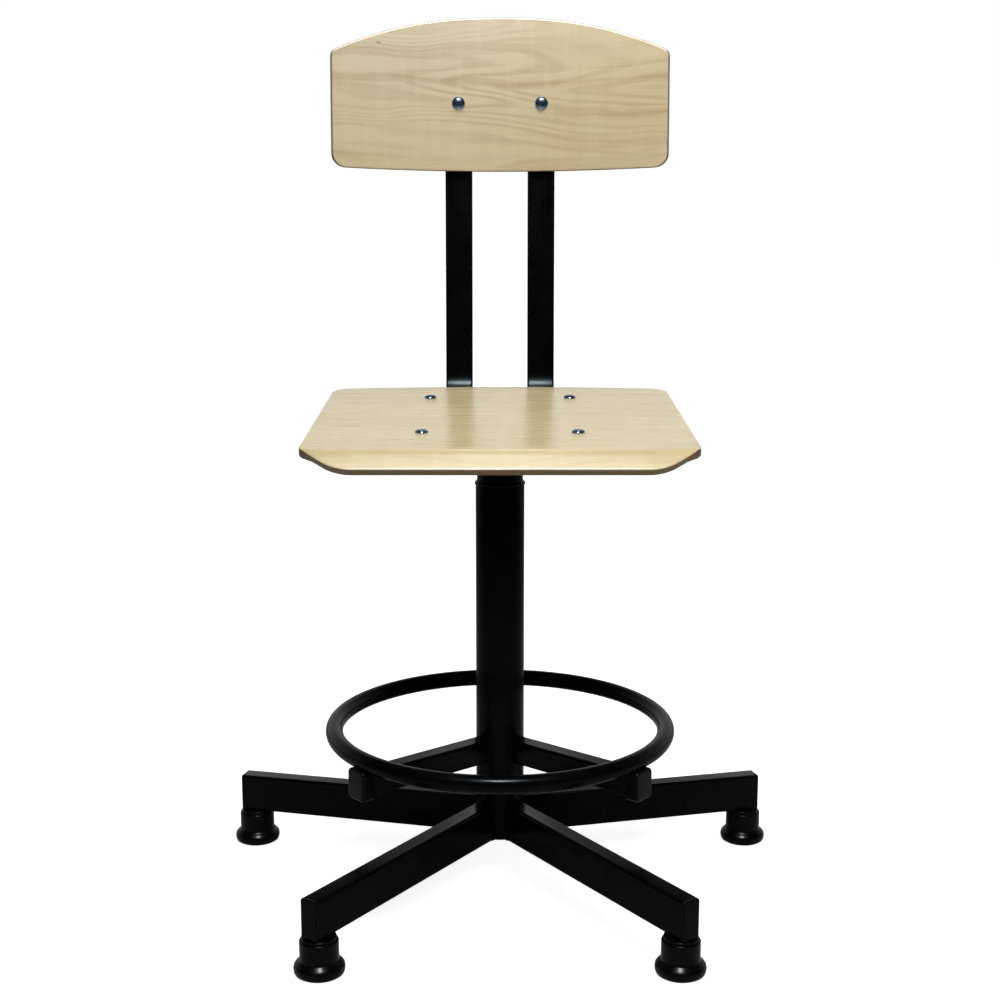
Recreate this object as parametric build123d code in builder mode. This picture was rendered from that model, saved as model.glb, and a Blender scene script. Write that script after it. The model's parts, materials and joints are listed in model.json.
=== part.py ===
from build123d import *

import os
from math import asin, cos, degrees, radians, sin, sqrt, tan

os.makedirs("parts", exist_ok=True)

# Swivel stool: plywood seat and backrest, welded five-leg base, gas-spring column, foot ring.
# Millimetres. +Z is up, the origin is on the column's axis at floor level, and the seat's
# front faces -Y. The stool stands at its lowest height.

# Column
column_diameter = 50.0
column_wall = 2.0
column_bottom = 45.0
column_length = 376.5

# Guide bush in the column's mouth
bush_length = 80.0
bush_lip_diameter = 52.0
bush_lip_height = 3.5
bush_collar_diameter = 47.0
bush_collar_height = 8.5

# Legs of the base
leg_width = 20.0
leg_height = 40.0
leg_wall = 2.0
leg_corner_radius = 3.0
leg_droop = 1.72
leg_height_at_axis = 65.65
foot_circle_radius = 286.0
leg_end_overhang = 13.5
leg_end_thickness = 2.5
leg_angles = {
    "front_right": -54,
    "side_right": 18,
    "back": 90,
    "side_left": 162,
    "front_left": 234,
}

# Glides under the legs
glide_diameter = 48.6
glide_sole_diameter = 41.0
glide_rim_height = 6.7
glide_shoulder_height = 12.0
glide_shoulder_step = 2.0
glide_top_radius = 1.5
glide_stem_diameter = 37.0
glide_height = 34.2
sleeve_flange_diameter = 33.0
sleeve_diameter = 15.6
sleeve_length = 30.0
pin_diameter = 11.0
pin_length = 50.0
pin_depth_in_glide = 24.0
pin_chamfer = 1.0

# Foot ring and its arms
ring_radius = 173.5
ring_tube_diameter = 18.0
ring_wall = 1.5
ring_height = 162.6
arm_width = 20.0
arm_height = 25.0
arm_wall = 1.5
arm_corner_radius = 3.0
arm_reach = 178.0
saddle_depth = 0.4
cap_overhang = 3.0
cap_corner_radius = 5.0
cap_length = 14.0
cap_depth = 6.0
cap_edge_radius = 2.5
cap_ring_gap = 0.2
arm_angles = {"front_right": -40, "back": 90, "front_left": 220}

# Gas spring, measured with the stool at its lowest height
stroke = 200.0
floor_plate_inset = 4.0
floor_plate_thickness = 3.0
clip_thickness = 1.2
clip_diameter = 16.0
clip_gap = 0.3
rod_diameter = 10.0
rod_end_diameter = 8.0
rod_end_chamfer = 0.8
race_diameter = 24.0
race_thickness = 1.5
race_bore_diameter = 9.0
cage_thickness = 2.0
ball_diameter = 3.5
ball_circle_radius = 8.5
ball_count = 12
buffer_diameter = 21.0
buffer_height = 12.0
cylinder_diameter = 28.0
cylinder_wall = 2.0
rod_guide_length = 14.0
piston_length = 14.0
piston_margin = 8.0
taper_length = 28.0
taper_top_diameter = 26.9
cylinder_cap_thickness = 10.0
release_pin_diameter = 8.0
release_pin_length = 14.0
release_pin_projection = 5.5

# Seat plate and taper socket
mechanism_height = 70.5
socket_diameter = 54.0
socket_chamfer = 3.0
socket_counterbore_diameter = 34.0
plate_side_margin = 13.0
plate_depth = 226.0
plate_thickness = 4.0
plate_corner_radius = 14.0
plate_centre = 4.0

# Release lever
lever_width = 10.0
lever_thickness = 7.0
lever_nose = 5.0
pivot_distance = 36.0
pivot_diameter = 5.0
pivot_boss_radius = 6.0
pivot_head = 1.5
bracket_thickness = 3.0
bracket_length = 12.0
lever_travel = 6.0
lever_rod_diameter = 7.0
lever_reach = 160.0
lever_drop = 10.0
lever_bend_start = 50.0
lever_bend_end = 74.0
lever_bend_radius = 12.0
grip_length = 62.0
grip_width = 24.0
grip_thickness = 12.0
grip_corner_radius = 4.5
grip_end_wall = 6.0

# Seat board
seat_tilt = 2.3
seat_thickness = 9.5
seat_width = 370.0
seat_front = 200.0
seat_back = 182.0
seat_back_bow = 14.0
seat_back_corner_radius = 22.0
seat_corner_width = 36.0
seat_corner_depth = 26.0
seat_side_corner_radius = 35.0
seat_front_corner_radius = 40.0
waterfall_radius = 20.0
waterfall_angle = 38.0
waterfall_lip = 16.0

# Uprights of the backrest
upright_spacing = 92.0
upright_width = 30.0
upright_depth = 15.0
upright_wall = 1.5
upright_corner_radius = 2.0
upright_front = 200.0
upright_lean = 6.3
upright_top = 378.0
upright_bend_radius = 40.0
upright_arm_start = 16.0
plug_depth = 12.0
plug_head = 2.0

# Backrest board
back_thickness = 9.0
back_width = 368.0
back_bottom = 236.7
back_height = 166.7
back_radius = 567.0
back_bottom_bow = 3.0
back_bottom_corner_radius = 15.0
back_top_corner_radius = 9.0
crown_half_width = 60.0
crown_drop = 3.2
back_side_drop = 39.5

# Screws
screw_pattern_depth = 200.0
screw_diameter = 6.0
screw_hole_diameter = 6.5
seat_screw_head_diameter = 13.0
back_screw_head_diameter = 14.5
screw_head_height = 3.6
screw_head_rim = 0.8
screw_end = 2.0
nut_width = 10.0
nut_height = 5.0
washer_diameter = 13.0
washer_thickness = 1.2
back_screw_height = 310.4

# Clearances
running_clearance = 0.05
bearing_clearance = 0.05
working_gap = 0.3
side_gap = 0.6
upright_to_washer_gap = 7.5
stop_gap = 1.0
slot_gap = 1.5

# Levels that follow from the sizes above
column_radius = column_diameter / 2
column_bore = column_radius - column_wall
column_top = column_bottom + column_length
seat_height = column_top + mechanism_height
socket_bottom = column_top + bush_collar_height + stop_gap
cylinder_top = socket_bottom + taper_length
pin_top = cylinder_top + release_pin_projection
lever_level = pin_top + working_gap + lever_thickness / 2
floor_plate_bottom = column_bottom + floor_plate_inset
floor_plate_top = floor_plate_bottom + floor_plate_thickness
ball_level = floor_plate_top + race_thickness + ball_diameter / 2
upper_race_bottom = ball_level + ball_diameter / 2 + bearing_clearance
upper_race_top = upper_race_bottom + race_thickness
buffer_top = upper_race_top + buffer_height
cylinder_bottom = buffer_top + working_gap
cylinder_bore = cylinder_diameter / 2 - cylinder_wall
piston_bottom = cylinder_bottom + rod_guide_length + stroke + piston_margin
arm_top = ring_height - ring_tube_diameter / 2 + saddle_depth
screw_pattern_width = upright_spacing + upright_width + washer_diameter + 2 * upright_to_washer_gap
screw_places = (screw_pattern_width, screw_pattern_depth, 2, 2)
plate_width = screw_pattern_width + 2 * plate_side_margin

# Cylinders and boxes that stand on the point where they are placed
STANDING = (Align.CENTER, Align.CENTER, Align.MIN)

# The seat plane lies on the seat's upper face and drops towards the front.
tilt_sine = sin(radians(seat_tilt))
tilt_cosine = cos(radians(seat_tilt))
seat_plane = Plane(origin=(0, 0, seat_height), x_dir=(1, 0, 0), z_dir=(0, -tilt_sine, tilt_cosine))
plate_face = seat_plane.offset(-seat_thickness)
plate_underside = plate_face.offset(-plate_thickness)

# The back plane stands on the seat plane at the uprights' front faces: its Z runs up along the
# uprights, which lean back from square to the seat, and its Y runs back through them.
lean_sine = sin(radians(upright_lean))
lean_cosine = cos(radians(upright_lean))
back_plane = Plane(
    origin=seat_plane.from_local_coords((0, upright_front, 0)),
    x_dir=seat_plane.x_dir,
    z_dir=seat_plane.y_dir * lean_sine + seat_plane.z_dir * lean_cosine,
)


def side_plane(across):
    """A plane that looks along X: its X runs back along the seat and its Y rises from it."""
    return Plane(
        origin=seat_plane.from_local_coords((across, 0, 0)),
        x_dir=seat_plane.y_dir,
        z_dir=seat_plane.x_dir,
    )


def facing_plane(base, depth):
    """A plane that faces the front at this depth in the base plane: its Y rises from the base."""
    return Plane(
        origin=base.from_local_coords((0, depth, 0)),
        x_dir=base.x_dir,
        z_dir=-base.y_dir,
    )


# ---------------------------------------------------------------- column and legs

with BuildPart() as column_tube:
    with BuildSketch(Plane.XY.offset(column_bottom)):
        Circle(column_radius)
        Circle(column_bore, mode=Mode.SUBTRACT)
    extrude(amount=column_length)
column_tube.part.label = "column_tube"
export_step(column_tube.part, "parts/column_tube.step")

leg_section = Plane(
    origin=(0, 0, leg_height_at_axis),
    x_dir=(0, 1, 0),
    z_dir=(cos(radians(leg_droop)), 0, -sin(radians(leg_droop))),
)
leg_end = foot_circle_radius + leg_end_overhang
leg_tube_end = leg_end - leg_end_thickness
leg_stock = 1.1 * leg_end
leg_underside = leg_height_at_axis - leg_height / 2 - foot_circle_radius * tan(radians(leg_droop))
leg_bottom_face = Plane(
    origin=leg_section.from_local_coords((0, -leg_height / 2, 0)),
    x_dir=leg_section.x_dir,
    z_dir=leg_section.y_dir,
)

with BuildPart() as leg:
    with BuildSketch(leg_section):
        RectangleRounded(leg_width, leg_height, leg_corner_radius)
        RectangleRounded(
            leg_width - 2 * leg_wall,
            leg_height - 2 * leg_wall,
            leg_corner_radius - leg_wall,
            mode=Mode.SUBTRACT,
        )
    extrude(amount=leg_stock)
    split(bisect_by=Plane.YZ.offset(leg_tube_end), keep=Keep.BOTTOM)
    Cylinder(column_radius, 4 * leg_height_at_axis, mode=Mode.SUBTRACT)
    with Locations((foot_circle_radius, 0, leg_underside)):
        Cylinder(sleeve_diameter / 2, leg_height / 2, mode=Mode.SUBTRACT)

with BuildPart() as leg_end_plate:
    with BuildSketch(leg_section):
        RectangleRounded(leg_width, leg_height, leg_corner_radius)
    extrude(amount=leg_stock)
    split(bisect_by=Plane.YZ.offset(leg_end), keep=Keep.BOTTOM)
    split(bisect_by=Plane.YZ.offset(leg_tube_end), keep=Keep.TOP)
    fillet(leg_end_plate.faces().sort_by(Axis.X)[-1].edges(), leg_end_thickness / 2)

# ---------------------------------------------------------------- glides

foot_axis = Axis((foot_circle_radius, 0, 0), (0, 0, 1))
stem_radius = glide_stem_diameter / 2
pin_bottom = glide_height - pin_depth_in_glide

with BuildPart() as glide:
    with BuildSketch(Plane.XZ.shift_origin((foot_circle_radius, 0, 0))):
        with BuildLine():
            sole = Line((0, 0), (glide_sole_diameter / 2, 0))
            rim = ThreePointArc(
                sole @ 1,
                (glide_diameter / 2, glide_rim_height),
                (stem_radius + glide_shoulder_step, glide_shoulder_height),
            )
            Polyline(
                rim @ 1,
                (stem_radius, glide_shoulder_height + glide_shoulder_step),
                (stem_radius, glide_height),
                (0, glide_height),
                (0, 0),
            )
        make_face()
    revolve(axis=foot_axis)
    fillet(glide.faces().sort_by(Axis.Z)[-1].edges(), glide_top_radius)
    with Locations((foot_circle_radius, 0, pin_bottom)):
        Cylinder(pin_diameter / 2, glide_height, align=STANDING, mode=Mode.SUBTRACT)

with BuildPart() as glide_pin:
    with Locations((foot_circle_radius, 0, pin_bottom)):
        Cylinder(pin_diameter / 2, pin_length, align=STANDING)
    chamfer(glide_pin.faces().sort_by(Axis.Z)[-1].edges(), pin_chamfer)

with BuildPart() as stem_sleeve:
    with Locations((foot_circle_radius, 0, glide_height)):
        Cylinder(sleeve_flange_diameter / 2, leg_height, align=STANDING)
    split(bisect_by=leg_bottom_face, keep=Keep.BOTTOM)
    with Locations((foot_circle_radius, 0, glide_height)):
        Cylinder(sleeve_diameter / 2, sleeve_length, align=STANDING)
        Cylinder(pin_diameter / 2, sleeve_length, align=STANDING, mode=Mode.SUBTRACT)

leg_pieces = {
    "leg": leg.part,
    "leg_end_plate": leg_end_plate.part,
    "glide": glide.part,
}
for kind, master in leg_pieces.items():
    for place, angle in leg_angles.items():
        piece = master.rotate(Axis.Z, angle)
        piece.label = f"{kind}_{place}"
        export_step(piece, f"parts/{piece.label}.step")

for kind, master in {"glide_pins": glide_pin.part, "stem_sleeves": stem_sleeve.part}.items():
    with BuildPart() as group:
        for angle in leg_angles.values():
            add(master.rotate(Axis.Z, angle))
    group.part.label = kind
    export_step(group.part, f"parts/{kind}.step")

# ---------------------------------------------------------------- foot ring

arm_section = Plane(origin=(0, 0, arm_top - arm_height / 2), x_dir=(0, 1, 0), z_dir=(1, 0, 0))
cap_start = arm_reach - cap_depth

with BuildPart() as foot_ring:
    with Locations((0, 0, ring_height)):
        Torus(ring_radius, ring_tube_diameter / 2)
        Torus(ring_radius, ring_tube_diameter / 2 - ring_wall, mode=Mode.SUBTRACT)
foot_ring.part.label = "foot_ring"
export_step(foot_ring.part, "parts/foot_ring.step")

with BuildPart() as ring_arm:
    with BuildSketch(arm_section):
        RectangleRounded(arm_width, arm_height, arm_corner_radius)
        RectangleRounded(
            arm_width - 2 * arm_wall,
            arm_height - 2 * arm_wall,
            arm_corner_radius - arm_wall,
            mode=Mode.SUBTRACT,
        )
    extrude(amount=arm_reach)
    Cylinder(column_radius, 4 * ring_height, mode=Mode.SUBTRACT)
    with Locations((0, 0, ring_height)):
        Torus(ring_radius, ring_tube_diameter / 2, mode=Mode.SUBTRACT)

with BuildPart() as arm_cap:
    with BuildSketch(arm_section.offset(cap_start)):
        RectangleRounded(arm_width + 2 * cap_overhang, arm_height + 2 * cap_overhang, cap_corner_radius)
    extrude(amount=cap_length)
    fillet(arm_cap.faces().sort_by(Axis.X)[-1].edges(), cap_edge_radius)
    with BuildSketch(arm_section.offset(cap_start)):
        RectangleRounded(arm_width, arm_height, arm_corner_radius)
    extrude(amount=cap_depth, mode=Mode.SUBTRACT)
    with Locations((0, 0, ring_height)):
        Torus(ring_radius, ring_tube_diameter / 2 + cap_ring_gap, mode=Mode.SUBTRACT)

for kind, master in {"ring_arm": ring_arm.part, "arm_cap": arm_cap.part}.items():
    for place, angle in arm_angles.items():
        piece = master.rotate(Axis.Z, angle)
        piece.label = f"{kind}_{place}"
        export_step(piece, f"parts/{piece.label}.step")

# ---------------------------------------------------------------- gas spring

with BuildPart() as guide_bush:
    with BuildSketch(Plane.XZ):
        with BuildLine():
            Polyline(
                (cylinder_diameter / 2 + running_clearance, column_top - bush_length),
                (column_bore, column_top - bush_length),
                (column_bore, column_top),
                (bush_lip_diameter / 2, column_top),
                (bush_lip_diameter / 2, column_top + bush_lip_height / 2),
                (bush_collar_diameter / 2 + bush_lip_height / 2, column_top + bush_lip_height),
                (bush_collar_diameter / 2, column_top + bush_collar_height),
                (cylinder_diameter / 2 + running_clearance, column_top + bush_collar_height),
                close=True,
            )
        make_face()
    revolve(axis=Axis.Z)
guide_bush.part.label = "guide_bush"
export_step(guide_bush.part, "parts/guide_bush.step")

with BuildPart() as floor_plate:
    with Locations((0, 0, floor_plate_bottom)):
        Cylinder(column_bore, floor_plate_thickness, align=STANDING)
        Cylinder(
            rod_end_diameter / 2 + running_clearance,
            floor_plate_thickness,
            align=STANDING,
            mode=Mode.SUBTRACT,
        )
floor_plate.part.label = "floor_plate"
export_step(floor_plate.part, "parts/floor_plate.step")

with BuildPart() as lower_race:
    with Locations((0, 0, floor_plate_top)):
        Cylinder(race_diameter / 2, race_thickness, align=STANDING)
        Cylinder(race_bore_diameter / 2, race_thickness, align=STANDING, mode=Mode.SUBTRACT)
lower_race.part.label = "lower_race"
export_step(lower_race.part, "parts/lower_race.step")

with BuildPart() as bearing_balls:
    with Locations((0, 0, ball_level)):
        with PolarLocations(ball_circle_radius, ball_count):
            Sphere(ball_diameter / 2)
bearing_balls.part.label = "bearing_balls"
export_step(bearing_balls.part, "parts/bearing_balls.step")

with BuildPart() as ball_cage:
    with Locations((0, 0, ball_level - cage_thickness / 2)):
        Cylinder(race_diameter / 2, cage_thickness, align=STANDING)
        Cylinder(race_bore_diameter / 2, cage_thickness, align=STANDING, mode=Mode.SUBTRACT)
        with PolarLocations(ball_circle_radius, ball_count):
            Cylinder(
                ball_diameter / 2 + running_clearance,
                cage_thickness,
                align=STANDING,
                mode=Mode.SUBTRACT,
            )
ball_cage.part.label = "ball_cage"
export_step(ball_cage.part, "parts/ball_cage.step")

with BuildPart() as upper_race:
    with Locations((0, 0, upper_race_bottom)):
        Cylinder(race_diameter / 2, race_thickness, align=STANDING)
        Cylinder(rod_end_diameter / 2, race_thickness, align=STANDING, mode=Mode.SUBTRACT)
upper_race.part.label = "upper_race"
export_step(upper_race.part, "parts/upper_race.step")

rod_end_bottom = floor_plate_bottom - clip_gap - 2 * clip_thickness

with BuildPart() as piston_rod:
    with Locations((0, 0, upper_race_top)):
        Cylinder(rod_diameter / 2, piston_bottom + piston_length - upper_race_top, align=STANDING)
    with Locations((0, 0, rod_end_bottom)):
        Cylinder(rod_end_diameter / 2, upper_race_top - rod_end_bottom, align=STANDING)
    chamfer(piston_rod.faces().sort_by(Axis.Z)[0].edges(), rod_end_chamfer)
piston_rod.part.label = "piston_rod"
export_step(piston_rod.part, "parts/piston_rod.step")

with BuildPart() as retaining_clip:
    with Locations((0, 0, floor_plate_bottom - clip_gap - clip_thickness)):
        Cylinder(clip_diameter / 2, clip_thickness, align=STANDING)
        Cylinder(rod_end_diameter / 2, clip_thickness, align=STANDING, mode=Mode.SUBTRACT)
retaining_clip.part.label = "retaining_clip"
export_step(retaining_clip.part, "parts/retaining_clip.step")

with BuildPart() as stop_buffer:
    with Locations((0, 0, upper_race_top)):
        Cylinder(buffer_diameter / 2, buffer_height, align=STANDING)
        Cylinder(rod_diameter / 2, buffer_height, align=STANDING, mode=Mode.SUBTRACT)
stop_buffer.part.label = "stop_buffer"
export_step(stop_buffer.part, "parts/stop_buffer.step")

with BuildPart() as piston:
    with Locations((0, 0, piston_bottom)):
        Cylinder(cylinder_bore - running_clearance, piston_length, align=STANDING)
        Cylinder(rod_diameter / 2, piston_length, align=STANDING, mode=Mode.SUBTRACT)
piston.part.label = "piston"
export_step(piston.part, "parts/piston.step")

with BuildPart() as gas_cylinder:
    with BuildSketch(Plane.XZ):
        with BuildLine():
            Polyline(
                (cylinder_bore, cylinder_bottom),
                (cylinder_diameter / 2, cylinder_bottom),
                (cylinder_diameter / 2, socket_bottom),
                (taper_top_diameter / 2, cylinder_top),
                (cylinder_bore, cylinder_top),
                close=True,
            )
        make_face()
    revolve(axis=Axis.Z)
gas_cylinder.part.label = "gas_cylinder"
export_step(gas_cylinder.part, "parts/gas_cylinder.step")

with BuildPart() as rod_guide:
    with Locations((0, 0, cylinder_bottom)):
        Cylinder(cylinder_bore, rod_guide_length, align=STANDING)
        Cylinder(
            rod_diameter / 2 + running_clearance,
            rod_guide_length,
            align=STANDING,
            mode=Mode.SUBTRACT,
        )
rod_guide.part.label = "rod_guide"
export_step(rod_guide.part, "parts/rod_guide.step")

with BuildPart() as cylinder_cap:
    with Locations((0, 0, cylinder_top - cylinder_cap_thickness)):
        Cylinder(cylinder_bore, cylinder_cap_thickness, align=STANDING)
        Cylinder(
            release_pin_diameter / 2 + running_clearance,
            cylinder_cap_thickness,
            align=STANDING,
            mode=Mode.SUBTRACT,
        )
cylinder_cap.part.label = "cylinder_cap"
export_step(cylinder_cap.part, "parts/cylinder_cap.step")

with BuildPart() as release_pin:
    with Locations((0, 0, pin_top - release_pin_length)):
        Cylinder(release_pin_diameter / 2, release_pin_length, align=STANDING)
    chamfer(release_pin.faces().sort_by(Axis.Z)[-1].edges(), pin_chamfer)
release_pin.part.label = "release_pin"
export_step(release_pin.part, "parts/release_pin.step")

# ---------------------------------------------------------------- seat plate and lever

slot_width = lever_width + 2 * slot_gap
slot_drop = pivot_distance * sin(radians(lever_travel))

with BuildPart() as taper_socket:
    with BuildSketch(Plane.XZ):
        with BuildLine():
            Polyline(
                (cylinder_diameter / 2, socket_bottom),
                (socket_diameter / 2 - socket_chamfer, socket_bottom),
                (socket_diameter / 2, socket_bottom + socket_chamfer),
                (socket_diameter / 2, seat_height),
                (socket_counterbore_diameter / 2, seat_height),
                (socket_counterbore_diameter / 2, cylinder_top),
                (taper_top_diameter / 2, cylinder_top),
                close=True,
            )
        make_face()
    revolve(axis=Axis.Z)
    split(bisect_by=plate_underside, keep=Keep.BOTTOM)
    with Locations((-socket_diameter / 2, 0, lever_level - slot_drop / 2)):
        Box(
            socket_diameter / 2,
            slot_width,
            lever_thickness + slot_drop + 2 * slot_gap,
            mode=Mode.SUBTRACT,
        )
taper_socket.part.label = "taper_socket"
export_step(taper_socket.part, "parts/taper_socket.step")

with BuildPart() as seat_plate:
    with BuildSketch(plate_underside):
        with Locations((0, plate_centre)):
            RectangleRounded(plate_width, plate_depth, plate_corner_radius)
            with GridLocations(*screw_places):
                Circle(screw_hole_diameter / 2, mode=Mode.SUBTRACT)
    extrude(amount=plate_thickness)
seat_plate.part.label = "seat_plate"
export_step(seat_plate.part, "parts/seat_plate.step")

bracket_inner = lever_width / 2 + side_gap
bracket_outer = bracket_inner + bracket_thickness
bracket_height = seat_height - lever_level

with BuildPart() as lever_bracket:
    with Locations((-pivot_distance, 0, lever_level - pivot_boss_radius)):
        Box(bracket_length, 2 * bracket_outer, bracket_height, align=STANDING)
    split(bisect_by=plate_underside, keep=Keep.BOTTOM)
    with Locations((-pivot_distance, 0, lever_level - pivot_boss_radius)):
        Box(
            bracket_length,
            2 * bracket_inner,
            2 * pivot_boss_radius + side_gap,
            align=STANDING,
            mode=Mode.SUBTRACT,
        )
    with Locations(Location((-pivot_distance, 0, lever_level), (90, 0, 0))):
        Cylinder(pivot_diameter / 2, 2 * bracket_outer, mode=Mode.SUBTRACT)
lever_bracket.part.label = "lever_bracket"
export_step(lever_bracket.part, "parts/lever_bracket.step")

with BuildPart() as lever_pivot:
    with Locations(Location((-pivot_distance, 0, lever_level), (90, 0, 0))):
        Cylinder(pivot_diameter / 2, 2 * (bracket_outer + pivot_head))
    with Locations(
        Location((-pivot_distance, bracket_outer + pivot_head / 2, lever_level), (90, 0, 0)),
        Location((-pivot_distance, -bracket_outer - pivot_head / 2, lever_level), (90, 0, 0)),
    ):
        Cylinder(pivot_diameter / 2 + pivot_head, pivot_head)
lever_pivot.part.label = "lever_pivot"
export_step(lever_pivot.part, "parts/lever_pivot.step")

with BuildPart() as release_lever:
    with BuildSketch(Plane.XZ):
        with Locations((-pivot_distance, lever_level)):
            Circle(pivot_boss_radius)
            Rectangle(pivot_distance + lever_nose, lever_thickness, align=(Align.MIN, Align.CENTER))
            Circle(pivot_diameter / 2 + running_clearance, mode=Mode.SUBTRACT)
    extrude(amount=lever_width / 2, both=True)
    with BuildLine(Plane.XZ):
        FilletPolyline(
            (-pivot_distance - pivot_boss_radius + side_gap, lever_level),
            (-lever_bend_start, lever_level),
            (-lever_bend_end, lever_level - lever_drop),
            (-lever_reach, lever_level - lever_drop),
            radius=lever_bend_radius,
        )
    with BuildSketch(Plane.YZ.offset(-pivot_distance - pivot_boss_radius + side_gap)):
        with Locations((0, lever_level)):
            Circle(lever_rod_diameter / 2)
    sweep()
release_lever.part.label = "release_lever"
export_step(release_lever.part, "parts/release_lever.step")

grip_end = lever_reach + grip_end_wall

with BuildPart() as lever_grip:
    with BuildSketch(Plane.YZ.offset(-grip_end)):
        with Locations((0, lever_level - lever_drop)):
            RectangleRounded(grip_width, grip_thickness, grip_corner_radius)
    extrude(amount=grip_length)
    fillet(lever_grip.faces().sort_by(Axis.X)[0].edges(), grip_corner_radius / 2)
    fillet(lever_grip.faces().sort_by(Axis.X)[-1].edges(), grip_corner_radius / 2)
    with BuildSketch(Plane.YZ.offset(-lever_reach)):
        with Locations((0, lever_level - lever_drop)):
            Circle(lever_rod_diameter / 2)
    extrude(amount=grip_length, mode=Mode.SUBTRACT)
lever_grip.part.label = "lever_grip"
export_step(lever_grip.part, "parts/lever_grip.step")

# ---------------------------------------------------------------- seat board

waterfall_sine = sin(radians(waterfall_angle))
waterfall_cosine = cos(radians(waterfall_angle))
waterfall_run = waterfall_radius * waterfall_sine + waterfall_lip * waterfall_cosine
waterfall_drop = waterfall_radius * (1 - waterfall_cosine) + waterfall_lip * waterfall_sine
waterfall_start = waterfall_run - seat_front
half_seat = seat_width / 2

# The front corners are cut square to the bent lip: this plane lies on it with its origin at the
# middle of its front edge, and its Y runs back up the lip.
lip_plane = Plane(
    origin=seat_plane.from_local_coords((0, -seat_front, -waterfall_drop)),
    x_dir=seat_plane.x_dir,
    z_dir=seat_plane.z_dir * waterfall_cosine - seat_plane.y_dir * waterfall_sine,
)

with BuildPart() as seat_board:
    with BuildSketch(side_plane(0)):
        with BuildLine():
            flat = Line((seat_back, 0), (waterfall_start, 0))
            bend = JernArc(flat @ 1, flat % 1, waterfall_radius, waterfall_angle)
            lip = PolarLine(bend @ 1, waterfall_lip, direction=bend % 1)
            offset(amount=seat_thickness, side=Side.LEFT)
        make_face()
    extrude(amount=half_seat, both=True)
    with BuildSketch(seat_plane):
        with BuildLine():
            back_edge = ThreePointArc(
                (-half_seat, seat_back - seat_back_bow),
                (0, seat_back),
                (half_seat, seat_back - seat_back_bow),
            )
            Polyline(
                back_edge @ 1,
                (half_seat, -seat_front),
                (-half_seat, -seat_front),
                back_edge @ 0,
            )
        make_face()
        fillet(vertices().group_by(Axis.Y)[-1], seat_back_corner_radius)
    extrude(amount=seat_front, both=True, mode=Mode.INTERSECT)
    with BuildSketch(lip_plane):
        with BuildLine():
            Polyline(
                (half_seat, seat_front + seat_back),
                (half_seat, seat_corner_depth),
                (half_seat - seat_corner_width, 0),
                (seat_corner_width - half_seat, 0),
                (-half_seat, seat_corner_depth),
                (-half_seat, seat_front + seat_back),
                close=True,
            )
        make_face()
        front_corners, side_corners = vertices().group_by(Axis.Y)[:2]
        fillet(side_corners, seat_side_corner_radius)
        fillet(front_corners, seat_front_corner_radius)
    extrude(amount=seat_front + seat_back, both=True, mode=Mode.INTERSECT)
    with Locations(seat_plane):
        with Locations((0, plate_centre)):
            with GridLocations(*screw_places):
                Cylinder(screw_hole_diameter / 2, 4 * seat_thickness, mode=Mode.SUBTRACT)
seat_board.part.label = "seat_board"
export_step(seat_board.part, "parts/seat_board.step")

# ---------------------------------------------------------------- uprights

arm_level = -seat_thickness - plate_thickness - upright_depth / 2
elbow_place = upright_front + upright_depth / 2 / lean_cosine + arm_level * lean_sine / lean_cosine
upright_rise = upright_top * lean_cosine - upright_depth / 2 * lean_sine
upright_run = upright_top * lean_sine + upright_depth / 2 * lean_cosine

for place, across in {"left": -upright_spacing / 2, "right": upright_spacing / 2}.items():
    with BuildPart() as upright:
        with BuildLine(side_plane(across)):
            FilletPolyline(
                (upright_arm_start, arm_level),
                (elbow_place, arm_level),
                (upright_front + upright_run, upright_rise),
                radius=upright_bend_radius,
            )
        with BuildSketch(facing_plane(seat_plane, upright_arm_start)):
            with Locations((across, arm_level)):
                RectangleRounded(upright_width, upright_depth, upright_corner_radius)
                Rectangle(
                    upright_width - 2 * upright_wall,
                    upright_depth - 2 * upright_wall,
                    mode=Mode.SUBTRACT,
                )
        sweep()
        with BuildSketch(facing_plane(back_plane, 0)):
            with Locations((across, back_screw_height)):
                Circle(screw_hole_diameter / 2)
        extrude(amount=-upright_depth, mode=Mode.SUBTRACT)
    upright.part.label = f"upright_{place}"
    export_step(upright.part, f"parts/upright_{place}.step")

with BuildPart() as upright_plugs:
    for across in (-upright_spacing / 2, upright_spacing / 2):
        with BuildSketch(back_plane.offset(upright_top)):
            with Locations((across, upright_depth / 2)):
                RectangleRounded(upright_width, upright_depth, upright_corner_radius)
        extrude(amount=plug_head)
        with BuildSketch(back_plane.offset(upright_top)):
            with Locations((across, upright_depth / 2)):
                Rectangle(upright_width - 2 * upright_wall, upright_depth - 2 * upright_wall)
        extrude(amount=-plug_depth)
        with BuildSketch(facing_plane(seat_plane, upright_arm_start)):
            with Locations((across, arm_level)):
                RectangleRounded(upright_width, upright_depth, upright_corner_radius)
        extrude(amount=plug_head)
        with BuildSketch(facing_plane(seat_plane, upright_arm_start)):
            with Locations((across, arm_level)):
                Rectangle(upright_width - 2 * upright_wall, upright_depth - 2 * upright_wall)
        extrude(amount=-plug_depth)
upright_plugs.part.label = "upright_plugs"
export_step(upright_plugs.part, "parts/upright_plugs.step")

# ---------------------------------------------------------------- backrest board

# The board bows backwards and rests on the inner edges of the two uprights.
back_outer_radius = back_radius + back_thickness
contact_across = (upright_spacing - upright_width) / 2
bow_centre = -sqrt(back_outer_radius**2 - contact_across**2)
screw_face = bow_centre + sqrt(back_radius**2 - (upright_spacing / 2) ** 2)
half_back = back_width / 2
bow_angle = degrees(asin(1.05 * half_back / back_radius))
back_top = back_bottom + back_height

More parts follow.
